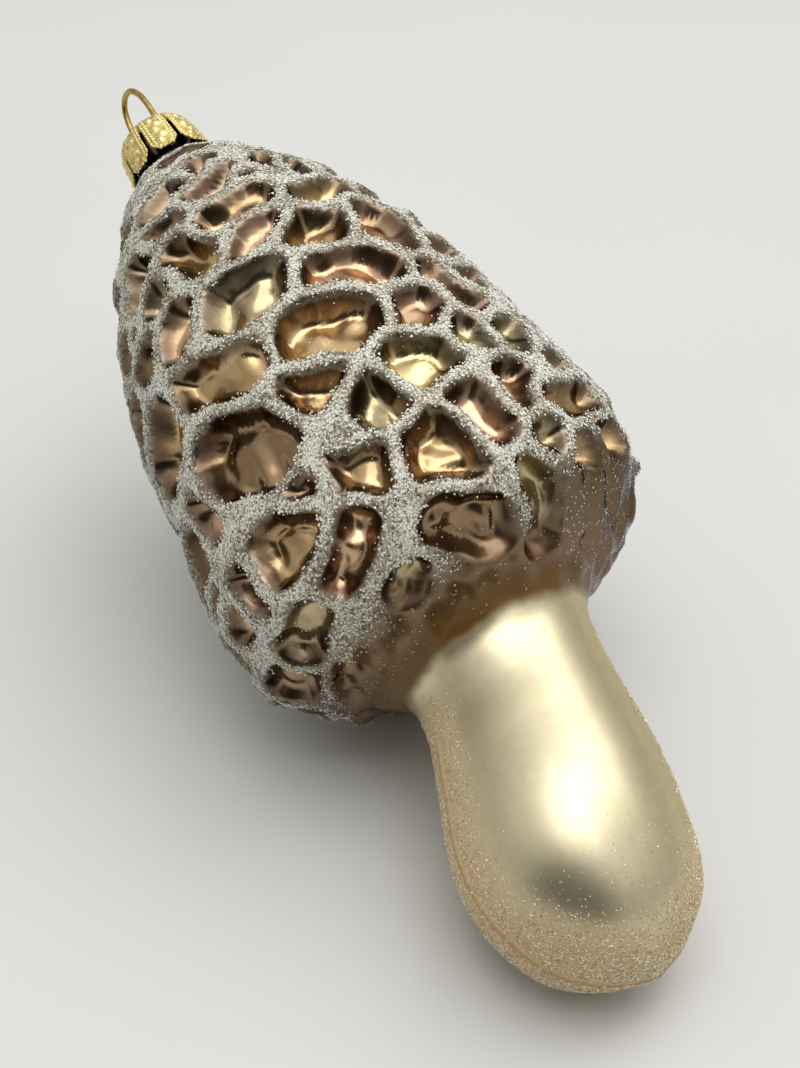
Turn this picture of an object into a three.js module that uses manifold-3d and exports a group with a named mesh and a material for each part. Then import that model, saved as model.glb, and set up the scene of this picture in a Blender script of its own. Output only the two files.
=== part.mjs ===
// Blown-glass tree ornament in the shape of a morel: a honeycombed cap and a club-shaped stem in one
// hollow glass body, a stamped metal crown on the neck, and a sprung wire that makes the hanging loop.
// Millimetres, +Z up. The ornament lies on its side, touching the ground at the cap and at the stem's
// bulb, with the crown raised and the stem's end towards +X. The origin is on the ground, under the
// middle of the whole ornament's box.
import * as THREE from "three";
import { mergeVertices } from "three/addons/utils/BufferGeometryUtils.js";
import Module from "manifold-3d";

// Places on the ornament are given by a height along its axis, 0 where the crown's petals end and
// rising towards the stem's end, and an angle round the axis, 0 at local +Y and 90 at local +Z.
const TILT = 19;
const ROLL = -4.5;
const DEGREE = Math.PI / 180;

// Outline of the glass from the neck's mouth to the stem's end: [height, radius].
const OUTLINE = [
  [-5.2, 4.5], [-3.1, 4.5], [-1.1, 4.6], [0.6, 5.6], [3, 8.1], [6.5, 11.1], [13.5, 15.7], [23.5, 20.1],
  [35, 23.6], [46, 25.1], [56, 26.4], [63.5, 27], [69, 26.1], [73, 23.5], [76.2, 18.5], [79, 13.4],
  [81.5, 11.7], [85.5, 11.3], [92, 12.1], [101, 13.3], [109, 12.4], [115, 9.8], [118.7, 5.2],
  [120.5, 0],
];
const FLATNESS = 0.97;
const OUTLINE_SAMPLES = 400;
// Spacing of the mesh's rows up to a height: [height, spacing].
const ROW_SPACING = [[1.2, 1.5], [80, 2.6], [108, 6], [121, 3.4]];
const END_ROW = 1;
const COLUMNS = 60;

// The cap's middle line drifts one way and the stem's the other: [start, end, sideways shift].
const CAP_DRIFT = [0, 60, 0.5];
const STEM_DRIFT = [74, 110, -7];

// The glass is thicker in the stem, where it was blown out less.
const CAP_WALL = 0.85;
const STEM_WALL = 2.2;
const WALL_CHANGE = [68, 90];

// Honeycomb pits. Each is a short line pressed into the cap: [height, angle, height, angle, radius].
const FRONT_PITS = [
  [9.5, 107, 11, 115, 1.5], [14.5, 105, 16.6, 118, 2], [12.2, 131, 12.8, 140, 2.3],
  [18.4, 131, 17.4, 145, 0.9], [14, 81, 17, 87, 1.6], [15.5, 74, 18.3, 78.5, 1.4],
  [17.6, 93, 17.2, 96.5, 1.2], [22.2, 103, 22.5, 120.5, 2], [24.2, 75.5, 25, 85.5, 2.2],
  [28, 107, 29.3, 119.5, 1.6], [30.2, 92, 32, 99.5, 2.8], [31.5, 73, 35.5, 77.5, 3.1],
  [41, 87, 37.8, 105, 2.2], [26.6, 132, 23.8, 138, 2.5], [26, 148, 26.4, 154, 1.8],
  [20, 159.5, 21.5, 165, 3], [28, 167, 27.2, 170, 1.1], [27, 177, 26, 183, 2],
  [30.8, 164.5, 32.2, 169.5, 1.8], [32.6, 145.5, 34.6, 153.5, 2.1], [35.7, 121, 35.8, 131.5, 3.3],
  [44.3, 137.5, 40.5, 154.5, 2.6], [41.5, 173, 43, 179, 4], [37, 58.5, 39.5, 63, 1.6],
  [42, 62, 44, 63.5, 1.7], [44, 72, 47.5, 71.5, 2.9], [46.8, 86.5, 49.3, 91.5, 2.3],
  [45.7, 108.5, 45.7, 116.5, 4.1], [52, 80, 54, 81, 1.9], [53, 66.5, 56, 68.5, 1.9],
  [55, 97, 54.8, 101.5, 3.6], [56, 113.5, 58.6, 115, 3], [52, 121, 51.8, 128, 2.8],
  [54.3, 143, 50.8, 155, 4.3], [52, 173, 55, 169.5, 2], [55, 185, 56, 191, 4],
  [64, 170, 66, 171.5, 2.3], [66, 178.5, 65.6, 182, 2.1], [61.8, 183, 60.5, 190, 1.3],
  [64, 123, 62.5, 128, 2.7], [61.9, 135.5, 61.6, 141.5, 1.2], [65.2, 149, 64.8, 156.5, 3.4],
  [60.5, 79, 63, 82.5, 2.2], [64, 57, 65.4, 70, 2], [62, 93, 66.3, 93.3, 2.5], [67, 105, 66, 109, 3.7],
  [69.2, 78.5, 69.4, 81.5, 1.8], [71.2, 65, 71.5, 70, 1.5], [72.2, 86.5, 72.1, 90.5, 1.6],
  [73.7, 110.5, 72.3, 117.5, 2.2], [75.6, 85.5, 75.6, 89.5, 1], [69, 134.5, 71.5, 147, 2],
  [72.3, 163, 72.6, 173.5, 2.2], [75, 131.5, 75.4, 137, 1.6], [76, 179, 76, 187, 1.5],
  [69, 51, 69.4, 57, 1.9], [58.6, 56, 59, 61.5, 1.7],
];
// Rows of pits round the other side of the cap: [height, first angle, last angle, number].
const BACK_ROWS = [
  [11.5, 156, 430, 8], [18.5, 176, 420, 9], [26, 193, 418, 9], [34, 180, 418, 10], [42, 196, 406, 8],
  [50, 195, 408, 9], [58.5, 207, 404, 8], [66, 194, 404, 9], [72, 186, 400, 9],
];
// Scatter of those pits, in millimetres and in parts of a pit's share of its row.
const BACK_PIT = { radius: 2.9, radiusScatter: 1, heightScatter: 2.4, rise: 4, turn: 0.3, half: [0.12, 0.26] };
// A pit's wall runs in from the rounded ridge, whose middle lies at most PIT_EDGE outside the pit's edge.
const PIT_EDGE = 1;
const RIDGE_HALF_WIDTH = 0.3;
const PIT_WALL = 2.2;
const PIT_DEPTH = 1.2;
const DEPTH_PER_RADIUS = 0.55;
const PITTED = [4, 9, 74, 79];

// Crown: a stamped cup over the neck, [radius, height above the petals' ends] outside, then inside.
const CROWN_END = -0.2;
const CROWN_PROFILE = [
  [0, 7.1], [2.7, 7.1], [3.9, 6.8], [4.8, 6], [5.2, 4.9], [5.45, 3.4], [5.6, 1.8], [5.9, 0],
  [5.55, 0], [5.25, 1.8], [5.1, 3.4], [4.85, 4.8], [4.5, 5.75], [3.75, 6.45], [2.6, 6.75], [0, 6.75],
];
const PETALS = 8;
const CROWN_FACETS = 32;
// Gap between two petals, cut from a distance off the axis right through the sheet.
const NOTCH = { width: 2.2, slit: 0.5, shoulder: 1.2, height: 4.7, away: 4, depth: 4 };
const WIRE_SLOT = { side: 1.6, depth: 4, away: 2.9, height: 7 };

// Wire: [distance from the axis, height above the petals' ends], from one leg's end to the loop's top.
const WIRE_RADIUS = 0.4;
const WIRE_SIDES = 8;
const WIRE_STEPS = 64;
const LOOP_TURN = 84;
const WIRE_LEG = [
  [7.5, -16], [5.6, -8], [3.5, -1.5], [2.8, 2], [2.8, 6], [3, 8.5], [3, 10.8], [2.5, 12.8], [1.5, 14.3],
];
const LOOP_TOP = 14.9;

const GLASS = new THREE.MeshStandardMaterial({ color: 0xa8865f, roughness: 0.25, metalness: 0.8 });
const GOLD = new THREE.MeshStandardMaterial({ color: 0xc2a55c, roughness: 0.35, metalness: 1 });
const WIRE = new THREE.MeshStandardMaterial({ color: 0xb59b56, roughness: 0.3, metalness: 1 });

function smoothStep(value, from, to) {
  return THREE.MathUtils.smoothstep(value, from, to);
}

// Repeatable scatter between -0.5 and 0.5.
function scatter(number) {
  const wave = Math.sin(number * 12.9898 + 4.1) * 43758.5453;
  return wave - Math.floor(wave) - 0.5;
}

function drift(height) {
  const [capFrom, capTo, capShift] = CAP_DRIFT;
  const [stemFrom, stemTo, stemShift] = STEM_DRIFT;
  return capShift * smoothStep(height, capFrom, capTo) + stemShift * smoothStep(height, stemFrom, stemTo);
}

function onGlass(height, radius, angle) {
  const across = drift(height) + radius * Math.cos(angle);
  return new THREE.Vector3(height, across, FLATNESS * radius * Math.sin(angle));
}

function outlineCurve() {
  const points = OUTLINE.map(([height, radius]) => new THREE.Vector3(height, radius, 0));
  return new THREE.CatmullRomCurve3(points, false, "centripetal");
}

// Positions along the curve, from 0 to 1, of the mesh's rows, without the stem's very end.
function rowPositions(curve) {
  const rows = [0];
  const length = curve.getLength();
  const fine = 0.1;
  let since = 0;
  for (let along = fine; along < length - END_ROW; along += fine) {
    since += fine;
    const height = curve.getPointAt(along / length).x;
    const spacing = ROW_SPACING.find(([limit]) => height < limit)[1];
    if (since > spacing) {
      rows.push(along / length);
      since = 0;
    }
  }
  return rows;
}

// Radius of the smooth body at a height, read between close samples of the outline.
function radiusAt(height, samples) {
  const above = samples.findIndex((sample) => sample.x > height);
  const low = samples[above - 1];
  const high = samples[above];
  return THREE.MathUtils.mapLinear(height, low.x, high.x, low.y, high.y);
}

function backPits() {
  const pits = [];
  const { half: [shortest, longest] } = BACK_PIT;
  BACK_ROWS.forEach(([rowHeight, from, to, number], row) => {
    const step = (to - from) / number;
    for (let index = 0; index < number; index += 1) {
      const seed = 40 * row + index;
      const height = rowHeight + BACK_PIT.heightScatter * scatter(seed);
      const angle = from + (index + 0.5 + BACK_PIT.turn * scatter(seed + 7)) * step;
      const rise = BACK_PIT.rise * scatter(seed + 13);
      const half = step * THREE.MathUtils.lerp(shortest, longest, scatter(seed + 19) + 0.5);
      const radius = BACK_PIT.radius + BACK_PIT.radiusScatter * scatter(seed + 29);
      pits.push([height - rise / 2, angle - half, height + rise / 2, angle + half, radius]);
    }
  });
  return pits;
}

function placePits(samples) {
  return [...FRONT_PITS, ...backPits()].map(([heightA, angleA, heightB, angleB, radius]) => {
    const start = onGlass(heightA, radiusAt(heightA, samples), angleA * DEGREE);
    const end = onGlass(heightB, radiusAt(heightB, samples), angleB * DEGREE);
    return { line: new THREE.Line3(start, end), radius };
  });
}

// How far the glass is pressed in at a point: full inside a pit, none on the ridges between pits.
function pressedIn(point, height, pits) {
  const nearest = new THREE.Vector3();
  let first = Infinity;
  let second = Infinity;
  let depth = 0;
  pits.forEach(({ line, radius }) => {
    line.closestPointToPoint(point, true, nearest);
    const distance = nearest.distanceTo(point) - radius;
    if (distance < first) {
      second = first;
      first = distance;
      depth = PIT_DEPTH + DEPTH_PER_RADIUS * radius;
    } else {
      second = Math.min(second, distance);
    }
  });
  const [top, full, lower, end] = PITTED;
  const fade = smoothStep(height, top, full) * (1 - smoothStep(height, lower, end));
  const fromRidge = Math.min((second - first) / 2, PIT_EDGE - first);
  return fade * depth * smoothStep(fromRidge, RIDGE_HALF_WIDTH, RIDGE_HALF_WIDTH + PIT_WALL);
}

function glassBody() {
  const curve = outlineCurve();
  const pits = placePits(curve.getSpacedPoints(OUTLINE_SAMPLES));
  const outer = [];
  const inner = [];
  const depths = [];
  for (const along of rowPositions(curve)) {
    const { x: height, y: radius } = curve.getPointAt(along);
    const slope = curve.getTangentAt(along);
    const wall = THREE.MathUtils.lerp(CAP_WALL, STEM_WALL, smoothStep(height, ...WALL_CHANGE));
    for (let column = 0; column < COLUMNS; column += 1) {
      const angle = (2 * Math.PI * column) / COLUMNS;
      const point = onGlass(height, radius, angle);
      const normal = new THREE.Vector3(-slope.y, slope.x * Math.cos(angle), slope.x * Math.sin(angle));
      const depth = pressedIn(point, height, pits);
      depths.push(depth);
      outer.push(point.clone().addScaledVector(normal, -depth));
      inner.push(point.clone().addScaledVector(normal, -depth - wall));
    }
  }
  const end = curve.getPointAt(1);
  const tip = onGlass(end.x, 0, 0);
  const innerTip = tip.clone().add(new THREE.Vector3(-STEM_WALL, 0, 0));
  return closedShell(outer, inner, depths, tip, innerTip);
}

// Joins the outer and inner skins at the mouth and closes each over the stem's end. Each quad of a skin
// is split along the diagonal that is pressed in less, which keeps the ridges whole.
function closedShell(outer, inner, depths, tip, innerTip) {
  const points = [...outer, ...inner, tip, innerTip];
  const innerStart = outer.length;
  const last = outer.length - COLUMNS;
  const tipIndex = 2 * outer.length;
  const faces = [];
  const addToSkins = (a, b, c, d) => {
    const ridgeAlongFirst = depths[a] + depths[c] <= depths[b] + depths[d];
    const corners = ridgeAlongFirst ? [a, b, c, a, c, d] : [a, b, d, b, c, d];
    faces.push(...corners);
    faces.push(...corners.map((corner) => innerStart + corner).reverse());
  };
  for (let column = 0; column < COLUMNS; column += 1) {
    const next = (column + 1) % COLUMNS;
    for (let here = 0; here < last; here += COLUMNS) {
      const there = here + COLUMNS;
      addToSkins(here + column, here + next, there + next, there + column);
    }
    faces.push(last + column, last + next, tipIndex);
    faces.push(innerStart + last + next, innerStart + last + column, tipIndex + 1);
    faces.push(column, innerStart + column, innerStart + next);
    faces.push(column, innerStart + next, next);
  }
  const geometry = new THREE.BufferGeometry().setFromPoints(points);
  geometry.setIndex(faces);
  geometry.computeVertexNormals();
  return geometry;
}

function toSolid(wasm, geometry) {
  const bare = geometry.clone();
  bare.deleteAttribute("normal");
  bare.deleteAttribute("uv");
  const merged = mergeVertices(bare, 1e-4);
  const vertProperties = new Float32Array(merged.attributes.position.array);
  const triVerts = new Uint32Array(merged.index.array);
  return new wasm.Manifold(new wasm.Mesh({ numProp: 3, vertProperties, triVerts }));
}

function toGeometry(solid) {
  const mesh = solid.getMesh();
  const geometry = new THREE.BufferGeometry();
  geometry.setAttribute("position", new THREE.BufferAttribute(mesh.vertProperties, 3));
  geometry.setIndex(new THREE.BufferAttribute(mesh.triVerts, 1));
  geometry.computeVertexNormals();
  return geometry;
}

// The gap between two petals: a slit that opens to a wide V, so that each petal's end is a point.
function petalGap() {
  const { width, slit, shoulder, height, away, depth } = NOTCH;
  const shape = new THREE.Shape();
  shape.moveTo(-width / 2, -1);
  shape.lineTo(width / 2, -1);
  shape.lineTo(slit / 2, shoulder);
  shape.lineTo(slit / 2, height);
  shape.lineTo(-slit / 2, height);
  shape.lineTo(-slit / 2, shoulder);
  shape.closePath();
  const gap = new THREE.ExtrudeGeometry(shape, { depth, bevelEnabled: false });
  return gap.translate(0, 0, away);
}

function crown(wasm) {
  const profile = CROWN_PROFILE.map(([radius, height]) => new THREE.Vector2(radius, height)).reverse();
  let cup = toSolid(wasm, new THREE.LatheGeometry(profile, CROWN_FACETS));
  for (let petal = 0; petal < PETALS; petal += 1) {
    const gap = petalGap().rotateY((2 * Math.PI * (petal + 0.5)) / PETALS);
    cup = cup.subtract(toSolid(wasm, gap));
  }
  const turn = -LOOP_TURN * DEGREE;
  const { side, depth, away, height } = WIRE_SLOT;
  for (const across of [-away, away]) {
    const slot = new THREE.BoxGeometry(side, depth, side).translate(across, height, 0);
    cup = cup.subtract(toSolid(wasm, slot.rotateY(turn)));
  }
  return toGeometry(cup);
}

function hangingWire() {
  const leg = WIRE_LEG.map(([away, height]) => new THREE.Vector3(away, height, 0));
  const otherLeg = WIRE_LEG.map(([away, height]) => new THREE.Vector3(-away, height, 0)).reverse();
  const path = new THREE.CatmullRomCurve3([...leg, new THREE.Vector3(0, LOOP_TOP, 0), ...otherLeg]);
  const section = new THREE.Shape();
  for (let side = 0; side < WIRE_SIDES; side += 1) {
    const angle = (2 * Math.PI * side) / WIRE_SIDES;
    const [x, y] = [WIRE_RADIUS * Math.cos(angle), WIRE_RADIUS * Math.sin(angle)];
    if (side === 0) section.moveTo(x, y);
    else section.lineTo(x, y);
  }
  section.closePath();
  const wire = new THREE.ExtrudeGeometry(section, { steps: WIRE_STEPS, extrudePath: path });
  return wire.rotateY(-LOOP_TURN * DEGREE);
}

function named(name, geometry, material) {
  const mesh = new THREE.Mesh(geometry, material);
  mesh.name = name;
  return mesh;
}

const wasm = await Module();
wasm.setup();

// The crown and the wire are modelled standing up, with their angles measured from local X to -Z, then
// turned so that their +Y runs along the ornament's axis, away from the glass.
const fittings = new THREE.Group();
fittings.add(named("crown_cap", crown(wasm), GOLD));
fittings.add(named("hanging_wire", hangingWire(), WIRE));
fittings.rotation.z = 90 * DEGREE;
fittings.position.x = CROWN_END;

const rolled = new THREE.Group();
rolled.add(named("glass_body", glassBody(), GLASS));
rolled.add(fittings);
rolled.rotation.x = ROLL * DEGREE;

const tilted = new THREE.Group();
tilted.add(rolled);
tilted.rotation.y = TILT * DEGREE;

const group = new THREE.Group();
group.add(tilted);
group.updateMatrixWorld(true);
const box = new THREE.Box3().setFromObject(group, true);
const middle = box.getCenter(new THREE.Vector3());
tilted.position.set(-middle.x, -middle.y, -box.min.z);

export default group;
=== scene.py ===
"""A morel-shaped tree ornament: silvered, lacquered and frosted blown glass, a stamped crown and a wire loop.

Sizes in the modelling code are millimetres in the ornament's own axes: X is the height along its axis, 0 at
the ends of the crown's petals and rising towards the stem's end, and angles go round that axis, 0 at Y and
90 at Z. seat_in_frame() then tilts, places and scales each piece into the frame.
"""
import math

import bpy
import numpy as np
from mathutils import Matrix, Quaternion, Vector


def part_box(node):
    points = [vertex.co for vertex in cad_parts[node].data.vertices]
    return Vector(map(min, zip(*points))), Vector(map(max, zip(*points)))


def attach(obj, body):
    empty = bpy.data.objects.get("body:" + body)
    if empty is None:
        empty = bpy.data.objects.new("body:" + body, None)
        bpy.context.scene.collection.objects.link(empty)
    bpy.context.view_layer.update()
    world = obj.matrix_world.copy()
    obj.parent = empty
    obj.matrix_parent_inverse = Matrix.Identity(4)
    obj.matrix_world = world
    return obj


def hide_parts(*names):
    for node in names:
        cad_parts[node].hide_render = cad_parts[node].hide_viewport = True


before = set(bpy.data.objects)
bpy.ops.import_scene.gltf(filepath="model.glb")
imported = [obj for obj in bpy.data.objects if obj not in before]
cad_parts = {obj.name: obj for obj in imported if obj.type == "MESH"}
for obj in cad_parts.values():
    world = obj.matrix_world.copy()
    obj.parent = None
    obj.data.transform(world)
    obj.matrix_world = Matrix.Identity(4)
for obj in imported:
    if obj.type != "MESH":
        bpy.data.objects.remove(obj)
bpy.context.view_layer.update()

MM = 0.001
TILT = math.radians(19)
ROLL = math.radians(-4.5)
LAY = Matrix.Rotation(TILT, 3, "Y") @ Matrix.Rotation(ROLL, 3, "X")

# Outline of the glass from the neck's mouth to the stem's end: (height, radius).
OUTLINE = (
    (-5.2, 4.5), (-3.1, 4.5), (-1.1, 4.6), (0.6, 5.6), (3, 8.1), (6.5, 11.1), (13.5, 15.7), (23.5, 20.1),
    (35, 23.6), (46, 25.1), (56, 26.4), (63.5, 27), (69, 26.1), (73, 23.5), (76.2, 18.5), (79, 13.4),
    (81.5, 11.7), (85.5, 11.3), (92, 12.1), (101, 13.3), (109, 12.4), (115, 9.8), (118.7, 5.2),
    (120.5, 0),
)
FLATNESS = 0.97
# Sideways drift of the blown glass: (from height, to height, shift).
CAP_DRIFT = (0, 60, 0.5)
STEM_DRIFT = (74, 110, -7)
# Mesh spacing over the skin, whose pitted cap is finer, and over the hidden lining.
COLUMNS = 330
CAP_REACH = (1, 81)
CAP_STEP = 0.52
STEM_STEP = 0.85
LINING_STEP = 4.0
# How far the lining stands inside the outline: deeper than any pit, and thin in the neck and the stem.
LINING_HEIGHTS = (1, 8, 76, 86)
LINING_DEPTHS = (0.8, 4.6, 4.6, 2.2)
LINING_SLANT = 0.6
TIP_BULGE = 0.25

# Lacquers over the silvering, as the eye sees each: a pit takes one of them.
LACQUERS = {
    "bronze": "#C6A778", "gold": "#D8BA80", "rose": "#CCA684", "olive": "#BCAE86",
    "dark": "#967A58", "yellow": "#DCC890", "mauve": "#9E876A", "near_black": "#2C241C",
}
# Honeycomb pits, each a short line pressed into the cap: (height, angle, height, angle, radius, lacquer).
FRONT_PITS = (
    # The first pit, on the neck just under the crown, is barely pressed: its dark lacquer there is also the
    # crown's painted shadow.
    (4.8, 98, 5.2, 122, 1.2, "dark"),
    (9.5, 107, 11, 115, 1.5, "dark"), (14.5, 105, 16.6, 118, 2, "mauve"),
    (12.2, 131, 12.8, 140, 2.3, "mauve"), (18.4, 131, 17.4, 145, 0.9, "rose"),
    (14, 81, 17, 87, 1.6, "gold"), (15.5, 74, 18.3, 78.5, 1.4, "rose"),
    (17.6, 93, 17.2, 96.5, 1.2, "bronze"), (22.2, 103, 22.5, 120.5, 2, "bronze"),
    (24.2, 75.5, 25, 85.5, 2.2, "gold"), (28, 107, 29.3, 119.5, 1.6, "rose"),
    (30.2, 92, 32, 99.5, 2.8, "bronze"), (31.5, 73, 35.5, 77.5, 3.1, "rose"),
    (41, 87, 37.8, 105, 2.2, "rose"), (26.6, 132, 23.8, 138, 2.5, "gold"),
    (26, 148, 26.4, 154, 1.8, "olive"), (20, 159.5, 21.5, 165, 3, "olive"),
    (28, 167, 27.2, 170, 1.1, "rose"), (27, 177, 26, 183, 2, "rose"),
    (30.8, 164.5, 32.2, 169.5, 1.8, "dark"), (32.6, 145.5, 34.6, 153.5, 2.1, "rose"),
    (35.7, 121, 35.8, 131.5, 3.3, "olive"), (44.3, 137.5, 40.5, 154.5, 2.6, "bronze"),
    (41.5, 173, 43, 179, 4, "bronze"), (37, 58.5, 39.5, 63, 1.6, "rose"), (42, 62, 44, 63.5, 1.7, "rose"),
    (44, 72, 47.5, 71.5, 2.9, "rose"), (46.8, 86.5, 49.3, 91.5, 2.3, "rose"),
    (45.7, 108.5, 45.7, 116.5, 4.1, "bronze"), (52, 80, 54, 81, 1.9, "olive"),
    (53, 66.5, 56, 68.5, 1.9, "olive"), (55, 97, 54.8, 101.5, 3.6, "yellow"),
    (56, 113.5, 58.6, 115, 3, "olive"), (52, 121, 51.8, 128, 2.8, "bronze"),
    (54.3, 143, 50.8, 155, 4.3, "dark"), (52, 173, 55, 169.5, 2, "rose"), (55, 185, 56, 191, 4, "dark"),
    (64, 170, 66, 171.5, 2.3, "dark"), (66, 178.5, 65.6, 182, 2.1, "rose"),
    (61.8, 183, 60.5, 190, 1.3, "olive"), (64, 123, 62.5, 128, 2.7, "bronze"),
    (61.9, 135.5, 61.6, 141.5, 1.2, "rose"), (65.2, 149, 64.8, 156.5, 3.4, "bronze"),
    (60.5, 79, 63, 82.5, 2.2, "rose"), (64, 57, 65.4, 70, 2, "bronze"), (62, 93, 66.3, 93.3, 2.5, "rose"),
    (67, 105, 66, 109, 3.7, "bronze"), (69.2, 78.5, 69.4, 81.5, 1.8, "olive"),
    (71.2, 65, 71.5, 70, 1.7, "bronze"), (72, 87.5, 76.8, 83, 1.9, "olive"),
    (75, 104.5, 73, 114, 2.9, "dark"),
    (69, 134.5, 71.5, 147, 2, "rose"), (72.3, 163, 72.6, 173.5, 2.2, "olive"),
    (75, 131.5, 75.4, 137, 1.6, "olive"), (76, 179, 76, 187, 1.5, "bronze"),
    (69, 51, 69.4, 57, 1.9, "bronze"), (58.6, 56, 59, 61.5, 1.7, "olive"),
    # One small pit takes a near-black lacquer, for a black speck on the cap.
    (59.5, 124.2, 59.9, 126.2, 0.8, "near_black"),
)
# Rows of pits round the other side of the cap: (height, first angle, last angle, number).
BACK_ROWS = (
    (11.5, 156, 430, 8), (18.5, 176, 420, 9), (26, 193, 418, 9), (34, 180, 418, 10), (42, 196, 406, 8),
    (50, 195, 408, 9), (58.5, 207, 404, 8), (66, 194, 404, 9), (72, 186, 400, 9),
)
BACK_LACQUERS = ("bronze", "rose", "bronze", "olive", "gold", "rose", "mauve", "bronze", "olive", "rose")
BACK_PIT = {"radius": 2.9, "radius_scatter": 1, "height_scatter": 2.4, "rise": 4, "turn": 0.3,
            "half": (0.12, 0.26)}
# A pit reaches this far past its radius where it has no neighbour; ridges bend, and walls slope from them.
PIT_EDGE = 1.5
RIDGE_BEND = 0.35
RIDGE_BEND_LENGTH = 9
RIDGE_HALF_WIDTH = 0.3
PIT_WALL = 1.9
PIT_DEPTH = 1.2
DEPTH_PER_RADIUS = 0.55
# Uneven skin, each a depth and a wavelength: dents in pit floors, wear on ridges, and folds by the waist.
COARSE_DENT = (0.38, 7.5)
FINE_DENT = (0.13, 3.6)
RIDGE_WEAR = (0.16, 4)
WAIST_FOLD = (0.26, 4.2)
FOLD_STRETCH = (0.35, 1, 1)
# Heights where something fades in and out: (from, full, until, gone).
PITTED = (4, 9, 76.5, 80)
CAP_SKIN = (0, 3, 79, 82)
FOLDED = (64, 71, 77.5, 80.5)
STRAY_GRAINS = (4, 20, 76.5, 80.5)
# Frost, and the brown by the ridges, by distance from the middle of a ridge: the brown is gathered lacquer
# and painted shade on the pit walls.
FROST_REACH = 0.5
BROWN_REACH = 1.8
# The frost fades out from this height on, and sooner on its thinly coated side.
FROST_END = 72
THIN_SIDE = math.radians(30)
THIN_SIDE_CUT = 5
FROST_FADE = 5
FROST_PATCH = 6
# The mould seam up both sides of the stem.
SEAM_HEIGHT = 0.3
SEAM_WIDTH = 0.45
SEAM_START = (84, 90)
GLITTER_SIDE = math.radians(278)
GLITTER_START = (81, 87)
GLITTER_END_HEIGHT = 108.5
# Heights of the lacquers at the waist, each from where it begins to where it covers. The amber ring's dark
# brown is also painted shade in the fold under the cap.
UNDERSIDE = (74.5, 77.5)
AMBER_RING_AND_FOLD_SHADE = (77.4, 78.8)
STEM_LACQUER = (80.0, 81.6)

# Beds of frost on the cap: (piece, from height, to height, number of grains, seed).
FROST_BEDS = (("cap_frost_upper", -9, 42, 36000, 41), ("cap_frost_lower", 42, 90, 42000, 42))
FROST_GRAIN = 0.32
# A bed's grains stand this share of their size off the skin, and are flattened towards it.
GRAIN_STAND = 0.15
GRAIN_FLATTENING = 0.5
# Shares of loose grains: on the whole cap, lower down, and lower down on the thinly coated side.
STRAY_SHARE = 0.008
STRAY_LOW_SHARE = 0.025
STRAY_THIN_SHARE = 0.05
STRAY_LOW = (67, 74)
# Shares of loose specks of glitter: on the bare stem, and by its end.
STEM_SPECKS = 0.003
STEM_SPECK_START = (82, 86)
END_SPECKS = 0.12
END_SPECK_START = (105, 110)
SEAM_BARE = 0.85
GLITTER_GRAIN = 0.24
GLITTER_NUMBER = 40000
GLITTER_SEED = 43
GRAIN_SCATTER = 0.22

# The crown from its flat top to its petals' ends: (radius, distance above the ends).
CROWN_END = -0.2
CROWN_HEIGHT = 7.1
CROWN_PROFILE = (
    (2.7, CROWN_HEIGHT), (3.9, 6.8), (4.8, 6), (5.2, 4.9), (5.45, 3.4), (5.6, 1.8), (5.9, 0),
)
CROWN_SHEET = 0.3
CROWN_STEP = 0.12
# Rings of mesh over the flat top, which has the wire's two holes.
TOP_ROWS = 14
# Two lines of beads up each side of a petal, each that far inside its edge.
BEAD_INSETS = (0.2, 0.72)
BEAD_HEIGHT = 0.2
BEAD_HALF_WIDTH = 0.24
BEAD_SPACING = 0.55
LUMP_HEIGHT = 0.3
GROOVE_DEPTH = 0.3
GROOVE_FOOT = 5.5
# The share of its ring that a petal fills, by distance above the ends: the rest is the slit beside it.
SLIT_TOP = 4.7
PETAL_HEIGHTS = (0, 1.1, SLIT_TOP, CROWN_HEIGHT)
PETAL_SHARES = (0.5, 0.9, 0.94, 1.0)
PETALS = 8
PETAL_COLUMNS = 44
# Lumps pressed in each petal: (height, sideways, size).
PETAL_LUMPS = ((5.3, 0.3, 0.5), (4.4, -0.4, 0.45), (3.4, 0.2, 0.6), (2.3, -0.3, 0.5), (1.4, 0.3, 0.4))

# Half of the wire, from the end of a leg up to its loop: (distance from the axis, distance above the petals).
WIRE_RADIUS = 0.4
LOOP_TURN = math.radians(84)
WIRE_LEG = (
    (7.5, -16), (5.6, -8), (3.5, -1.5), (2.8, 2), (2.8, 6), (3, 8.5), (3, 10.8), (2.5, 12.8), (1.5, 14.3),
)
LOOP_TOP = 14.9
WIRE_SIDES = 24
WIRE_TIP = 0.4
WIRE_STEP = 0.35
WIRE_HOLE = 0.52

# Half of the floor's width, in metres.
FLOOR_REACH = 6
# Soft lamps overhead: (name, place, aim, size, power), in metres and watts.
SOFTBOXES = (
    ("ceiling_softbox", (0.1, -0.06, 0.62), (0.03, 0, 0.03), 0.42, 1.25),
    ("ceiling_glow", (-0.04, 0.46, 0.76), (0, 0, 0.03), 0.6, 1.8),
)
LAMP_COLOUR = "#FFFDF8"
# Where the room is dark, as the stem's club end mirrors it.
DARK_CORNER = (0.656, -0.656, 0.375)

# Camera: angles round and above the ornament, and millimetres from the point it aims at.
CAMERA_AZIMUTH = math.radians(56.2)
CAMERA_ELEVATION = math.radians(39.45)
CAMERA_ROLL = math.radians(1.32)
CAMERA_DISTANCE = 225
CAMERA_AIM = (47.3, 5.3, -31.1)
CAMERA_LENS = 59.4
SENSOR_HEIGHT = 36


# ---------------------------------------------------------------- curves and fields

def smooth_step(value, start, end):
    part = np.clip((value - start) / (end - start), 0, 1)
    return part * part * (3 - 2 * part)


def plateau(value, start, full, until, gone):
    return smooth_step(value, start, full) * (1 - smooth_step(value, until, gone))


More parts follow.
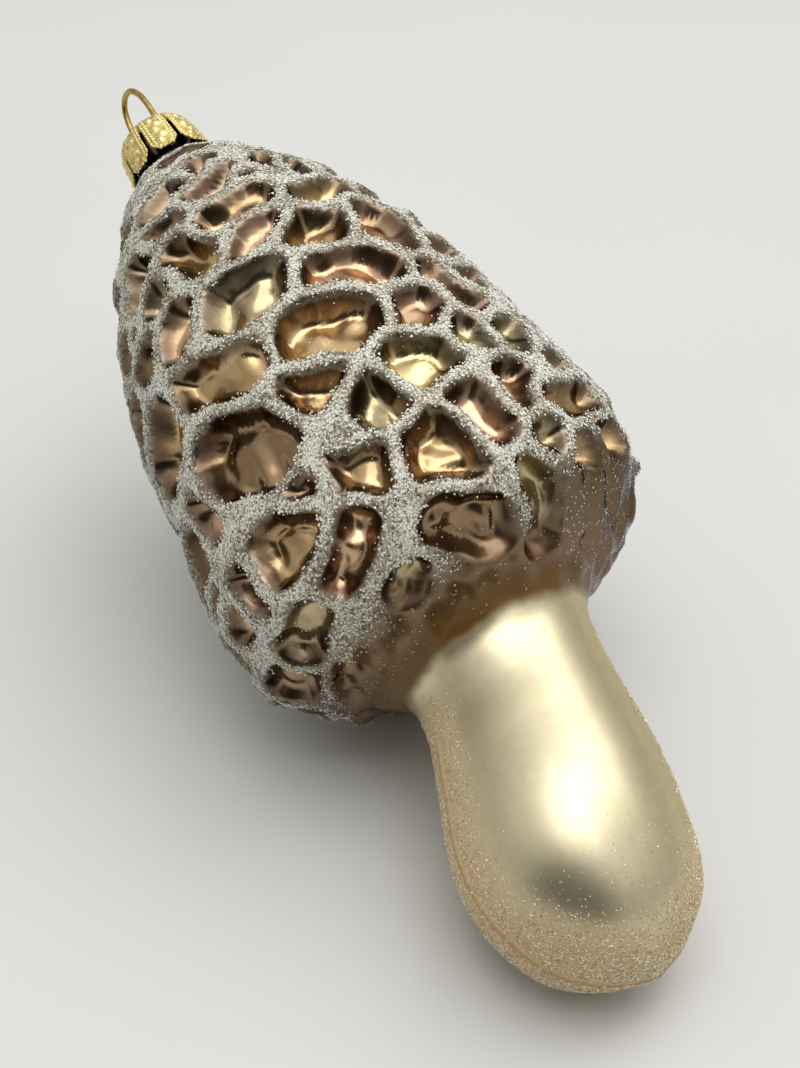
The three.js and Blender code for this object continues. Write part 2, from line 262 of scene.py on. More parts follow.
def smooth_curve(points, per_span=24):
    """A centripetal Catmull-Rom curve through the points, as a fine polyline."""
    known = np.array(points, float)
    known = np.vstack([2 * known[0] - known[1], known, 2 * known[-1] - known[-2]])
    part = np.linspace(0, 1, per_span, endpoint=False)[:, None]
    stretches = []
    for before, start, end, after in zip(known, known[1:], known[2:], known[3:]):
        lead, span, tail = (math.sqrt(np.linalg.norm(b - a)) for a, b in
                            ((before, start), (start, end), (end, after)))
        leaving = (start - before) / lead - (end - before) / (lead + span) + (end - start) / span
        arriving = (end - start) / span - (after - start) / (span + tail) + (after - end) / tail
        leaving, arriving = leaving * span, arriving * span
        stretches.append(
            start + leaving * part + (3 * (end - start) - 2 * leaving - arriving) * part**2
            + (2 * (start - end) + leaving + arriving) * part**3
        )
    return np.vstack(stretches + [known[-2:-1]])


def respaced(line, spacing):
    """Points along a polyline, each the given spacing past the last; spacing is a function of a point."""
    steps = np.linalg.norm(np.diff(line, axis=0), axis=1)
    along = np.concatenate([[0], np.cumsum(steps)])
    places = [0.0]
    while places[-1] < along[-1]:
        here = [np.interp(places[-1], along, line[:, axis]) for axis in range(line.shape[1])]
        places.append(places[-1] + spacing(here))
    places = np.array(places) * along[-1] / places[-1]
    return np.stack([np.interp(places, along, line[:, axis]) for axis in range(line.shape[1])], 1)


def wander(points, wavelength, seed, waves=10):
    """A smooth irregular field of about -1 to 1 over points in space, made of crossing waves."""
    random = np.random.default_rng(seed)
    total = np.zeros(points.shape[:-1])
    for _ in range(waves):
        way = random.normal(size=3)
        way *= 2 * math.pi / (np.linalg.norm(way) * wavelength * random.uniform(0.7, 1.5))
        total += np.sin(points @ way + random.uniform(0, 2 * math.pi))
    return total / math.sqrt(waves)


def scatter(number):
    """Repeatable scatter between -0.5 and 0.5."""
    wave = math.sin(number * 12.9898 + 4.1) * 43758.5453
    return wave - math.floor(wave) - 0.5


def drift(height):
    cap_from, cap_to, cap_shift = CAP_DRIFT
    stem_from, stem_to, stem_shift = STEM_DRIFT
    return (cap_shift * smooth_step(height, cap_from, cap_to)
            + stem_shift * smooth_step(height, stem_from, stem_to))


def on_glass(height, radius, angle):
    height, radius, angle = np.broadcast_arrays(height, radius, angle)
    return np.stack([
        height, drift(height) + radius * np.cos(angle), FLATNESS * radius * np.sin(angle)
    ], -1)


# ---------------------------------------------------------------- pieces and meshes

def seat_in_frame(points):
    """Ornament millimetres to frame metres."""
    return (np.asarray(points) @ np.array(LAY).T + SEAT) * MM


def mesh_piece(name, points, faces):
    """A smooth-shaded piece from ornament points and faces, all triangles or all quads."""
    points = seat_in_frame(points)
    faces = np.asarray(faces, np.int32)
    corners = faces.shape[1]
    mesh = bpy.data.meshes.new(name)
    mesh.vertices.add(len(points))
    mesh.vertices.foreach_set("co", points.astype(np.float32).ravel())
    mesh.loops.add(faces.size)
    mesh.loops.foreach_set("vertex_index", faces.ravel())
    mesh.polygons.add(len(faces))
    mesh.polygons.foreach_set("loop_start", np.arange(0, faces.size, corners, dtype=np.int32))
    mesh.update(calc_edges=True)
    mesh.validate()
    mesh.polygons.foreach_set("use_smooth", np.ones(len(mesh.polygons), bool))
    piece = bpy.data.objects.new(name, mesh)
    bpy.context.scene.collection.objects.link(piece)
    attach(piece, "root")
    return piece


def paint(piece, name, values):
    """Stores one value or one colour for each point of a piece's mesh."""
    values = np.asarray(values, np.float32)
    if values.ndim == 1:
        field = piece.data.attributes.new(name, "FLOAT", "POINT")
        field.data.foreach_set("value", values)
    else:
        field = piece.data.attributes.new(name, "FLOAT_COLOR", "POINT")
        field.data.foreach_set("color", np.hstack([values, np.ones((len(values), 1))]).ravel())


def grid_faces(rows, columns, offset=0, turned=False):
    """Quads over a grid whose columns close into a ring."""
    row, column = np.meshgrid(np.arange(rows - 1), np.arange(columns), indexing="ij")
    here = offset + row * columns + column
    there = offset + row * columns + (column + 1) % columns
    quads = np.stack([here, there, there + columns, here + columns], -1).reshape(-1, 4)
    return quads[:, ::-1] if turned else quads


# ---------------------------------------------------------------- colours and shader nodes

def linear(hexcode):
    parts = [int(hexcode[place:place + 2], 16) / 255 for place in (1, 3, 5)]
    return tuple(c / 12.92 if c <= 0.04045 else ((c + 0.055) / 1.055) ** 2.4 for c in parts) + (1.0,)


def node(tree, kind, inputs=None, stops=None, **settings):
    """Adds a shader node. An input takes a value, a hex colour or another node's output; stops fill a colour
    ramp."""
    made = tree.nodes.new("ShaderNode" + kind)
    for name, value in settings.items():
        setattr(made, name, value)
    if stops:
        ramp = made.color_ramp.elements
        while len(ramp) < len(stops):
            ramp.new(1)
        for element, (place, colour) in zip(ramp, stops):
            element.position = place
            element.color = linear(colour)
    for name, value in (inputs or {}).items():
        socket = made.inputs[name]
        if isinstance(value, bpy.types.NodeSocket):
            tree.links.new(value, socket)
        else:
            socket.default_value = linear(value) if isinstance(value, str) else value
    return made


# Sockets of a colour mix, by place, because its three kinds of value share their names.
MIX_SHARE = 0
MIX_UNDER = 6
MIX_OVER = 7
MIX_RESULT = 2


def new_material(name):
    material = bpy.data.materials.new(name)
    material.use_nodes = True
    tree = material.node_tree
    tree.nodes.clear()
    place = node(tree, "TexCoord").outputs["Object"]
    return material, tree, place


# ---------------------------------------------------------------- the wire, which also seats the ornament

def wire_path():
    leg = [(away * math.cos(LOOP_TURN), away * math.sin(LOOP_TURN), high) for away, high in WIRE_LEG]
    mirrored = [(-y, -z, high) for y, z, high in reversed(leg)]
    points = leg + [(0, 0, LOOP_TOP)] + mirrored
    return smooth_curve([(CROWN_END - high, y, z) for y, z, high in points])


def tube(path, radius, sides):
    """A round tube along a path, open at both ends, with a loose point added past each end."""
    way = np.gradient(path, axis=0)
    way /= np.linalg.norm(way, axis=1)[:, None]
    across = np.cross(way, np.cross((0, -math.sin(LOOP_TURN), math.cos(LOOP_TURN)), way))
    across /= np.linalg.norm(across, axis=1)[:, None]
    other = np.cross(way, across)
    turn = np.linspace(0, 2 * math.pi, sides, endpoint=False)[None, :, None]
    rings = path[:, None] + radius * (np.cos(turn) * across[:, None] + np.sin(turn) * other[:, None])
    ends = np.stack([path[0] - way[0] * radius * WIRE_TIP, path[-1] + way[-1] * radius * WIRE_TIP])
    points = np.vstack([rings.reshape(-1, 3), ends])
    return points, grid_faces(len(path), sides)


def find_seat():
    """The shift, in millimetres, that brings the tilted wire onto the frame's own wire."""
    points, _ = tube(wire_path(), WIRE_RADIUS, WIRE_SIDES)
    laid = points @ np.array(LAY).T
    low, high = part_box("hanging_wire")
    return (np.array(low) + np.array(high)) / (2 * MM) - (laid.min(0) + laid.max(0)) / 2


SEAT = find_seat()


def drawn_wire_gold():
    """Gold-finished drawn wire: smooth and bright, with a mottled tarnish in its colour and roughness."""
    material, tree, place = new_material("gold_drawn_wire")
    tarnish = node(tree, "TexNoise", {"Vector": place, "Scale": 1 / (1.5 * MM), "Detail": 3.0})
    colour = node(tree, "ValToRGB", {"Fac": tarnish.outputs["Fac"]},
                  stops=((0.3, "#8E7440"), (0.55, "#B89C5C"), (0.75, "#CDB477")))
    rough = node(tree, "MapRange", {"Value": tarnish.outputs["Fac"], "To Min": 0.2, "To Max": 0.38})
    surface = node(tree, "BsdfPrincipled", {
        "Base Color": colour.outputs["Color"], "Metallic": 1.0, "Roughness": rough.outputs["Result"],
    })
    node(tree, "OutputMaterial", {"Surface": surface.outputs["BSDF"]})
    return material


def make_wire():
    path = respaced(wire_path(), lambda point: WIRE_STEP)
    points, faces = tube(path, WIRE_RADIUS, WIRE_SIDES)
    wire = mesh_piece("hanging_wire_bent", points, faces)
    wire.data.materials.append(drawn_wire_gold())
    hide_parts("hanging_wire")


# ---------------------------------------------------------------- the glass

def back_pits():
    pits = []
    shortest, longest = BACK_PIT["half"]
    for row, (row_height, start, end, number) in enumerate(BACK_ROWS):
        step = (end - start) / number
        for index in range(number):
            seed = 40 * row + index
            height = row_height + BACK_PIT["height_scatter"] * scatter(seed)
            angle = start + (index + 0.5 + BACK_PIT["turn"] * scatter(seed + 7)) * step
            rise = BACK_PIT["rise"] * scatter(seed + 13)
            half = step * (shortest + (longest - shortest) * (scatter(seed + 19) + 0.5))
            radius = BACK_PIT["radius"] + BACK_PIT["radius_scatter"] * scatter(seed + 29)
            lacquer = BACK_LACQUERS[(7 * row + 3 * index) % len(BACK_LACQUERS)]
            pits.append((height - rise / 2, angle - half, height + rise / 2, angle + half, radius, lacquer))
    return pits


def placed_pits(outline):
    """Each pit's two ends on the smooth cap, its radius and its lacquer's colour."""
    pits = FRONT_PITS + tuple(back_pits())
    ends = []
    for column in (0, 2):
        height = np.array([pit[column] for pit in pits], float)
        angle = np.radians([pit[column + 1] for pit in pits])
        ends.append(on_glass(height, np.interp(height, outline[:, 0], outline[:, 1]), angle))
    radius = np.array([pit[4] for pit in pits])
    tints = np.array([linear(LACQUERS[pit[5]])[:3] for pit in pits])
    return ends[0], ends[1], radius, tints


def nearest_pits(points, starts, ends, radius):
    """For each point: how far it is from the middle of the ridge round its pit, and which pit that is."""
    count = len(points)
    first = np.full(count, 1e3)
    second = np.full(count, 1e3)
    which = np.zeros(count, int)
    for index, (start, end) in enumerate(zip(starts, ends)):
        line = end - start
        part = np.clip((points - start) @ line / (line @ line), 0, 1)
        distance = np.linalg.norm(points - start - part[:, None] * line, axis=1) - radius[index]
        closer = distance < first
        second = np.where(closer, first, np.minimum(second, distance))
        first = np.where(closer, distance, first)
        which = np.where(closer, index, which)
    return np.minimum((second - first) / 2, PIT_EDGE - first), which


def with_slopes(outline, spacing):
    """Points respaced along the outline, without the last, and the unit way along it at each."""
    rows = respaced(outline, spacing)[:-1]
    slope = np.gradient(rows, axis=0)
    return rows, slope / np.linalg.norm(slope, axis=1)[:, None]


def glass_skin(outline):
    """The smooth glass before its pits: how many rows, each point's height, turn, place and outward way, and
    the tip."""
    low, high = CAP_REACH
    rows, slope = with_slopes(outline, lambda point: CAP_STEP if low < point[0] < high else STEM_STEP)
    angle = np.linspace(0, 2 * math.pi, COLUMNS, endpoint=False)
    height = np.repeat(rows[:, :1], COLUMNS, 1)
    base = on_glass(height, rows[:, 1:], angle[None])
    out = np.stack(np.broadcast_arrays(
        -slope[:, 1:], slope[:, :1] * np.cos(angle), slope[:, :1] * np.sin(angle)), -1)
    tip = on_glass(rows[-1, 0] + TIP_BULGE, 0, 0)
    return len(rows), height.ravel(), np.tile(angle, len(rows)), base.reshape(-1, 3), out.reshape(-1, 3), tip


def glass_lining(outline):
    """The hidden inner skin: how many rows, its points and its tip."""
    rows, slope = with_slopes(outline, lambda point: LINING_STEP)
    angle = np.linspace(0, 2 * math.pi, COLUMNS, endpoint=False)
    inward = np.interp(rows[:, 0], LINING_HEIGHTS, LINING_DEPTHS)
    radius = np.maximum(rows[:, 1] - inward * np.abs(slope[:, 0]), 1)
    height = rows[:, 0] + LINING_SLANT * inward * slope[:, 1]
    points = on_glass(height[:, None], radius[:, None], angle[None]).reshape(-1, 3)
    return len(rows), points, on_glass(height[-1], 0, 0)


def glass_triangles(outer_rows, inner_rows, sunk):
    """Skin, lining, the rim between them and two tips; each quad of the skin splits along its crease."""
    outer, both = outer_rows * COLUMNS, (outer_rows + inner_rows) * COLUMNS
    ring = np.arange(COLUMNS)
    following = (ring + 1) % COLUMNS
    outside = grid_faces(outer_rows, COLUMNS)
    sunk = sunk[outside]
    creased = sunk[:, 0] + sunk[:, 2] > sunk[:, 1] + sunk[:, 3]
    quads = np.vstack([
        np.where(creased[:, None], np.roll(outside, -1, 1), outside),
        grid_faces(inner_rows, COLUMNS, outer, turned=True),
        np.stack([ring, outer + ring, outer + following, following], -1),
    ])
    tip = np.full(COLUMNS, both)
    return np.vstack([
        quads[:, [0, 1, 2]],
        quads[:, [0, 2, 3]],
        np.stack([outer - COLUMNS + ring, outer - COLUMNS + following, tip], -1),
        np.stack([both - COLUMNS + following, both - COLUMNS + ring, tip + 1], -1),
    ])


def make_glass():
    """The blown shell, and what the grains need: its skin, outward ways and fields."""
    outline = smooth_curve(OUTLINE)
    row_number, height, turn, base, out, tip = glass_skin(outline)

    starts, ends, radius, tints = placed_pits(outline)
    bend = np.stack([wander(base, RIDGE_BEND_LENGTH, seed) for seed in (1, 2, 3)], -1)
    inside, which = nearest_pits(base + RIDGE_BEND * bend, starts, ends, radius)
    pressed = smooth_step(inside, RIDGE_HALF_WIDTH, RIDGE_HALF_WIDTH + PIT_WALL)
    depth = (PIT_DEPTH + DEPTH_PER_RADIUS * radius[which]) * pressed
    (coarse, coarse_length), (fine, fine_length) = COARSE_DENT, FINE_DENT
    crumple = coarse * wander(base, coarse_length, 11) + fine * wander(base, fine_length, 12)
    depth += crumple * smooth_step(inside, FROST_REACH, FROST_REACH + BROWN_REACH)
    sunk = plateau(height, *PITTED) * depth

    cap = plateau(height, *CAP_SKIN)
    (wear, wear_length), (fold, fold_length) = RIDGE_WEAR, WAIST_FOLD
    relief_mix = wear * wander(base, wear_length, 13) * cap
    relief_mix += fold * wander(base * FOLD_STRETCH, fold_length, 17) * plateau(height, *FOLDED)
    seam_side = np.minimum(np.abs(turn - math.pi), np.minimum(turn, 2 * math.pi - turn))
    seam_reach = np.abs(seam_side) * np.hypot(base[:, 1] - drift(height), base[:, 2])
    seam = np.exp(-(seam_reach / SEAM_WIDTH) ** 2) * smooth_step(height, *SEAM_START)
    skin = base + out * (SEAM_HEIGHT * seam - sunk - relief_mix)[:, None]

    lining_number, lining, lining_tip = glass_lining(outline)
    points = np.vstack([skin, lining, tip, lining_tip])
    triangles = glass_triangles(row_number, lining_number, sunk)
    glass = mesh_piece("glass_body_blown", points, triangles)

    thin_side = smooth_step(np.cos(turn - THIN_SIDE), 0.5, 0.85)
    frost_end = FROST_END - THIN_SIDE_CUT * thin_side
    thinning = 1 - smooth_step(height, frost_end, frost_end + FROST_FADE)
    patchy = 0.35 + 0.65 * smooth_step(wander(base, FROST_PATCH, 31), -0.8, 0.5)
    ridge = (1 - smooth_step(inside, FROST_REACH - 0.2, FROST_REACH + 0.4)) * cap
    towards_end = np.maximum(0, height - GLITTER_END_HEIGHT) / 20
    glitter = smooth_step(np.cos(turn - GLITTER_SIDE) + towards_end, -0.72, -0.2)
    fields = {
        "ridge": ridge * thinning * (0.3 + 0.7 * patchy),
        "edge": 1 - smooth_step(inside, FROST_REACH + 0.4, FROST_REACH + BROWN_REACH),
        "height": height,
        "seam": seam,
        "glitter": glitter * smooth_step(height, *GLITTER_START),
    }
    spare = len(points) - len(skin)
    for name, values in fields.items():
        paint(glass, name, np.concatenate([values, np.zeros(spare)]))
    paint(glass, "lacquer", np.vstack([tints[which], np.tile(tints[0], (spare, 1))]))
    glass.data.materials.append(silvered_lacquered_glass())
    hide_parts("glass_body")
    return skin, out, {**fields, "inside": inside, "spread": thinning * patchy, "thin_side": thin_side}


def silvered_lacquered_glass():
    """Blown glass, silvered inside and sprayed with clear tinted lacquers: mirror-bright pits in bronze, rose
    and gold, browner by the ridges where the spray gathered and where painted shade darkens the pit walls, an
    amber ring under the cap, its dark brown also painted shade in the fold, and a stem in a satin champagne
    lacquer whose highlights spread wide and soft."""
    material, tree, place = new_material("silvered_lacquered_glass")
    value = {
        name: node(tree, "Attribute", attribute_name=name).outputs["Fac"]
        for name in ("ridge", "edge", "height", "seam", "glitter")
    }
    # Clouds and grain in the lacquers, with the size of each in millimetres.
    for name, size, detail in (
        ("clouds", 6, 3.0), ("ripple", 2.5, 2.0), ("fine", 1.2, 4.0), ("speckle", 0.35, 2.0),
    ):
        value[name] = node(tree, "TexNoise", {
            "Vector": place, "Scale": 1 / (size * MM), "Detail": detail,
        }).outputs["Fac"]
    # Each step makes one value from those before: a smooth reach between two limits, or plain arithmetic.
    for name, work, *inputs in (
        ("cloudy", "SMOOTHSTEP", "clouds", 0.45, 0.65, 0.0, 0.7),
        # the brown by the ridges: gathered lacquer, and painted shade on the pit walls
        ("lacquer_pool_and_wall_shade", "SMOOTHSTEP", "edge", 0.0, 1.0, 0.0, 0.85),
        ("under", "SMOOTHSTEP", "height", *UNDERSIDE, 0.0, 1.0),
        ("waver", "SMOOTHSTEP", "clouds", 0.2, 0.8, -0.35, 0.35),
        ("wavy_height", "ADD", "height", "waver"),
        # the amber ring: amber lacquer, darkened as painted shade in the fold
        ("amber_band_and_fold_shade", "SMOOTHSTEP", "wavy_height", *AMBER_RING_AND_FOLD_SHADE, 0.0, 1.0),
        ("stem", "SMOOTHSTEP", "wavy_height", *STEM_LACQUER, 0.0, 1.0),
        ("paler", "SMOOTHSTEP", "fine", 0.35, 0.7, 0.0, 1.0),
        ("seam_line", "SMOOTHSTEP", "seam", 0.3, 0.9, 0.0, 0.7),
        ("ring", "SUBTRACT", "amber_band_and_fold_shade", "stem"),
        ("dull_ring", "MULTIPLY", "ring", 0.6),
        ("grainy", "MAXIMUM", "ridge", "glitter"),
        ("coated", "MAXIMUM", "grainy", "dull_ring"),
        ("gloss", "SMOOTHSTEP", "under", 0.0, 1.0, 0.26, 0.38),
        ("matt", "SMOOTHSTEP", "coated", 0.0, 1.0, 0.0, 0.5),
        ("roughness", "ADD", "gloss", "matt"),
        ("metal", "SMOOTHSTEP", "coated", 0.0, 1.0, 1.0, 0.1),
        ("uneven", "SMOOTHSTEP", "stem", 0.0, 1.0, 1.0, 0.05),
        ("dents", "MULTIPLY", "ripple", "uneven"),
        ("varnish", "SMOOTHSTEP", "stem", 0.0, 1.0, 0.6, 0.25),
    ):
        inputs = [value.get(one, one) for one in inputs]
        if work == "SMOOTHSTEP":
            limits = dict(zip(("Value", "From Min", "From Max", "To Min", "To Max"), inputs))
            step = node(tree, "MapRange", limits, interpolation_type=work)
        else:
            step = node(tree, "Math", dict(enumerate(inputs)), operation=work)
        value[name] = step.outputs[0]
    champagne = node(tree, "Mix", {
        MIX_SHARE: value["paler"], MIX_UNDER: "#D2C8A6", MIX_OVER: "#D7CDAE",
    }, data_type="RGBA")
    frost = node(tree, "ValToRGB", {"Fac": value["speckle"]},
                 stops=((0.38, "#6E5E4A"), (0.48, "#B8B5A2"), (0.6, "#E4E5D6")))
    # Coats over the pit's own lacquer, from the first sprayed to the last. The brown by the ridges is also
    # painted shade on the pit walls, and the amber ring's dark brown is also painted shade in the fold.
    colour = node(tree, "Attribute", attribute_name="lacquer").outputs["Color"]
    for share, coat in (
        ("cloudy", "#8E7452"), ("lacquer_pool_and_wall_shade", "#4E3A28"), ("under", "#7E654A"), ("amber_band_and_fold_shade", "#6E5024"),
        ("stem", champagne.outputs[MIX_RESULT]), ("glitter", "#C9B189"), ("seam_line", "#A98354"),
        ("ridge", frost.outputs["Color"]),
    ):
        colour = node(tree, "Mix", {
            MIX_SHARE: value[share], MIX_UNDER: colour, MIX_OVER: coat,
        }, data_type="RGBA").outputs[MIX_RESULT]
    bump = node(tree, "Bump", {"Height": value["dents"], "Strength": 0.15, "Distance": 0.25 * MM})
    surface = node(tree, "BsdfPrincipled", {
        "Base Color": colour, "Metallic": value["metal"], "Roughness": value["roughness"],
        "Normal": bump.outputs["Normal"], "Specular Tint": colour,
        "Coat Weight": value["varnish"], "Coat Roughness": 0.15,
    })
    node(tree, "OutputMaterial", {"Surface": surface.outputs["BSDF"]})
    return material


# ---------------------------------------------------------------- frost and glitter

def crushed_glass(name, skin, out, weight, number, size, seed, material):
    """Shards of crushed glass stuck on the skin, thickest and coarsest where weight is highest."""
    random = np.random.default_rng(seed)
    chosen = random.choice(len(skin), number, p=weight / weight.sum())
    jitter = random.normal(size=(number, 3)) * GRAIN_SCATTER
    jitter -= out[chosen] * np.sum(jitter * out[chosen], 1)[:, None]
    coarse = 0.6 + 0.4 * smooth_step(weight[chosen] / weight.max(), 0, 0.3)
    grain = size * coarse * random.uniform(0.55, 1.35, number)
    centre = skin[chosen] + jitter + out[chosen] * (grain * GRAIN_STAND)[:, None]
    tetrahedron = np.array([(1, 1, 1), (1, -1, -1), (-1, 1, -1), (-1, -1, 1)]) / math.sqrt(3)
    shards = tetrahedron[None] * random.uniform(0.6, 1.4, (number, 4, 1))
    turn = random.normal(size=(number, 4))
    w, x, y, z = (turn / np.linalg.norm(turn, axis=1)[:, None]).T
    spin = np.stack([
        1 - 2 * (y * y + z * z), 2 * (x * y - z * w), 2 * (x * z + y * w),
        2 * (x * y + z * w), 1 - 2 * (x * x + z * z), 2 * (y * z - x * w),
        2 * (x * z - y * w), 2 * (y * z + x * w), 1 - 2 * (x * x + y * y),
    ], -1).reshape(number, 3, 3)
    corners = np.einsum("nij,nkj->nki", spin, shards) * grain[:, None, None] / 2
    lift = np.einsum("nkj,nj->nk", corners, out[chosen])
    points = centre[:, None] + corners - GRAIN_FLATTENING * lift[..., None] * out[chosen][:, None]
    faces = np.array([(0, 2, 1), (0, 1, 3), (0, 3, 2), (1, 2, 3)])
    faces = (faces[None] + 4 * np.arange(number)[:, None, None]).reshape(-1, 3)
    bed = mesh_piece(name, points.reshape(-1, 3), faces)
    bed.data.polygons.foreach_set("use_smooth", np.zeros(len(bed.data.polygons), bool))
    bed.data.materials.append(material)
    paint(bed, "lie", np.repeat(out[chosen] @ np.array(LAY).T, 4, 0))


def settled_normal(tree, share):
    """The facing of a grain, evened towards the skin it lies on: light spreads through a bed of grains."""
    facing = node(tree, "NewGeometry").outputs["Normal"]
    lie = node(tree, "Attribute", attribute_name="lie").outputs["Vector"]
    both = node(tree, "VectorMath", {0: facing, 1: (share,) * 3, 2: lie}, operation="MULTIPLY_ADD")
    return node(tree, "VectorMath", {0: both.outputs["Vector"]}, operation="NORMALIZE").outputs["Vector"]


def frost_grains():
    """Crushed clear glass on a tacky varnish: white where the broken faces scatter the light, with grey and
    brown grains between them, and a rare clean face that sparkles."""
    material, tree, _ = new_material("crushed_glass_frost")
    each = node(tree, "NewGeometry").outputs["Random Per Island"]
    colour = node(tree, "ValToRGB", {"Fac": each},
                  stops=((0.0, "#6A5A48"), (0.07, "#C4C2B0"), (0.25, "#ECECDE"), (1.0, "#FFFFF6")))
    rough = node(tree, "MapRange", {"Value": each, "From Min": 0.94, "To Min": 0.9, "To Max": 0.3})
    surface = node(tree, "BsdfPrincipled", {
        "Base Color": colour.outputs["Color"], "Roughness": rough.outputs["Result"], "IOR": 1.5,
        "Normal": settled_normal(tree, 0.5),
    })
    node(tree, "OutputMaterial", {"Surface": surface.outputs["BSDF"]})
    return material


def champagne_glitter():
    """Fine glitter on the stem's lacquer: pale gold specks, some bright, over satin champagne."""
    material, tree, _ = new_material("champagne_glitter")
    each = node(tree, "NewGeometry").outputs["Random Per Island"]
    colour = node(tree, "ValToRGB", {"Fac": each},
                  stops=((0.0, "#A88E62"), (0.3, "#D8C298"), (0.7, "#EEE0C0"), (1.0, "#FFFAEA")))
    rough = node(tree, "MapRange", {"Value": each, "To Min": 0.5, "To Max": 0.2})
    surface = node(tree, "BsdfPrincipled", {
        "Base Color": colour.outputs["Color"], "Metallic": 0.35, "Roughness": rough.outputs["Result"],
        "Normal": settled_normal(tree, 1.5),
    })
    node(tree, "OutputMaterial", {"Surface": surface.outputs["BSDF"]})
    return material


def make_frost(skin, out, fields):
    height = fields["height"]
    cell = 0.3 + np.hypot(skin[:, 1] - drift(height), skin[:, 2]) * 2 * math.pi / COLUMNS
    heavy = 1 - smooth_step(fields["inside"], FROST_REACH - 0.3, FROST_REACH + 0.5)
    heavy *= smooth_step(height, 1.5, 4) * fields["spread"]
    stray = STRAY_LOW_SHARE + STRAY_THIN_SHARE * fields["thin_side"]
    stray = STRAY_SHARE + stray * smooth_step(height, *STRAY_LOW)
    stray *= plateau(height, *STRAY_GRAINS)
    frost = (heavy + stray) * cell
    grains = frost_grains()
    for name, low, high, number, seed in FROST_BEDS:
        weight = np.where((height >= low) & (height < high), frost, 0)
        crushed_glass(name, skin, out, weight, number, FROST_GRAIN, seed, grains)
    glitter = fields["glitter"] * (1 - SEAM_BARE * fields["seam"])
    glitter = glitter + STEM_SPECKS * smooth_step(height, *STEM_SPECK_START)
    glitter = glitter + END_SPECKS * smooth_step(height, *END_SPECK_START)
    crushed_glass("stem_glitter", skin, out, glitter * cell, GLITTER_NUMBER, GLITTER_GRAIN, GLITTER_SEED,
                  champagne_glitter())


# ---------------------------------------------------------------- the crown

def stamped_gold():
    """Thin sheet stamped and gold-coloured, with a fine grain in its colour: painted highlights make it
    bright on the beads and lumps, and painted shade makes it brown in the pressed hollows.
    """
    material, tree, place = new_material("stamped_gold_sheet")
    grain = node(tree, "TexNoise", {"Vector": place, "Scale": 1 / (0.5 * MM), "Detail": 4.0})
    raised = node(tree, "Attribute", attribute_name="raised").outputs["Fac"]
    # Colour by raised height and grain: painted highlights on the beads and lumps, painted shade in the
    # hollows.
    relief_mix = node(tree, "Math", {0: raised, 1: grain.outputs["Fac"]}, operation="ADD")
    colour = node(tree, "ValToRGB", {"Fac": relief_mix.outputs[0]},
                  stops=((0.35, "#B09A58"), (0.6, "#E4D08C"), (0.9, "#F6EAC0")))
    rough = node(tree, "MapRange", {"Value": grain.outputs["Fac"], "To Min": 0.38, "To Max": 0.55})
    surface = node(tree, "BsdfPrincipled", {
        "Base Color": colour.outputs["Color"], "Metallic": 1.0, "Roughness": rough.outputs["Result"],
    })
    node(tree, "OutputMaterial", {"Surface": surface.outputs["BSDF"]})
    return material


